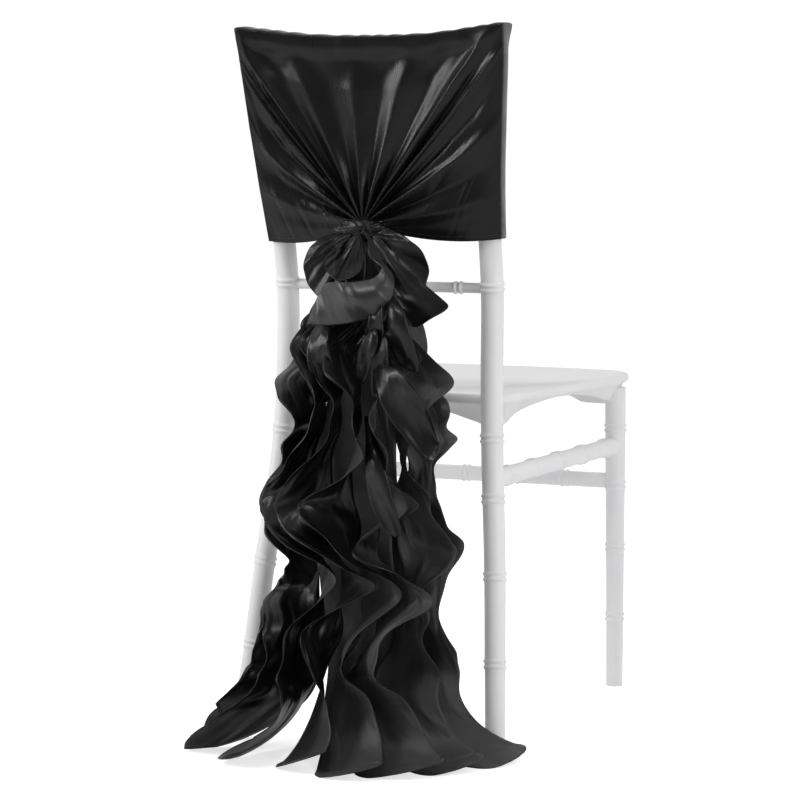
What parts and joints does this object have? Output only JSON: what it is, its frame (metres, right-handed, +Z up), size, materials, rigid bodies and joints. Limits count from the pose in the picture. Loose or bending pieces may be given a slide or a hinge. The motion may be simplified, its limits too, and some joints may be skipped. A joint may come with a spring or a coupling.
{
  "type": "chair with cover and sash",
  "caption": "White bamboo-turned ballroom chair, its back dressed in a fitted black satin cap drawn to a knot, with curled ruffle streamers that fall to the floor.",
  "frame": {"origin": "on the floor, under the middle of the whole, chair and streamers", "axes": "+Z up; +Y the way the seat faces; the covered back and the sash look to -Y; +X to the right seen from behind"},
  "size_m": [0.4389, 0.7218, 0.9224],
  "materials": {
    "resin": "white moulded resin, semi-gloss",
    "satin": "black satin, glossy face and dull reverse"
  },
  "bodies": {
    "root": {"rear_post_left": "resin", "rear_post_right": "resin", "front_leg_left": "resin", "front_leg_right": "resin", "seat": "resin", "back_rail_lower": "resin", "back_rail_middle": "resin", "back_rail_top": "resin", "front_stretcher": "resin", "side_stretcher_left": "resin", "side_stretcher_right": "resin", "chair_cap": "satin", "sash_knot": "satin", "ruffle_left": "satin", "ruffle_right": "satin", "ruffle_middle": "satin", "ruffle_front": "satin", "sash_strip_01": "satin", "sash_strip_02": "satin", "sash_strip_03": "satin", "sash_strip_04": "satin", "sash_strip_05": "satin", "sash_strip_06": "satin", "sash_strip_07": "satin", "sash_strip_08": "satin", "sash_strip_09": "satin", "sash_strip_10": "satin"}
  },
  "joints": []
}
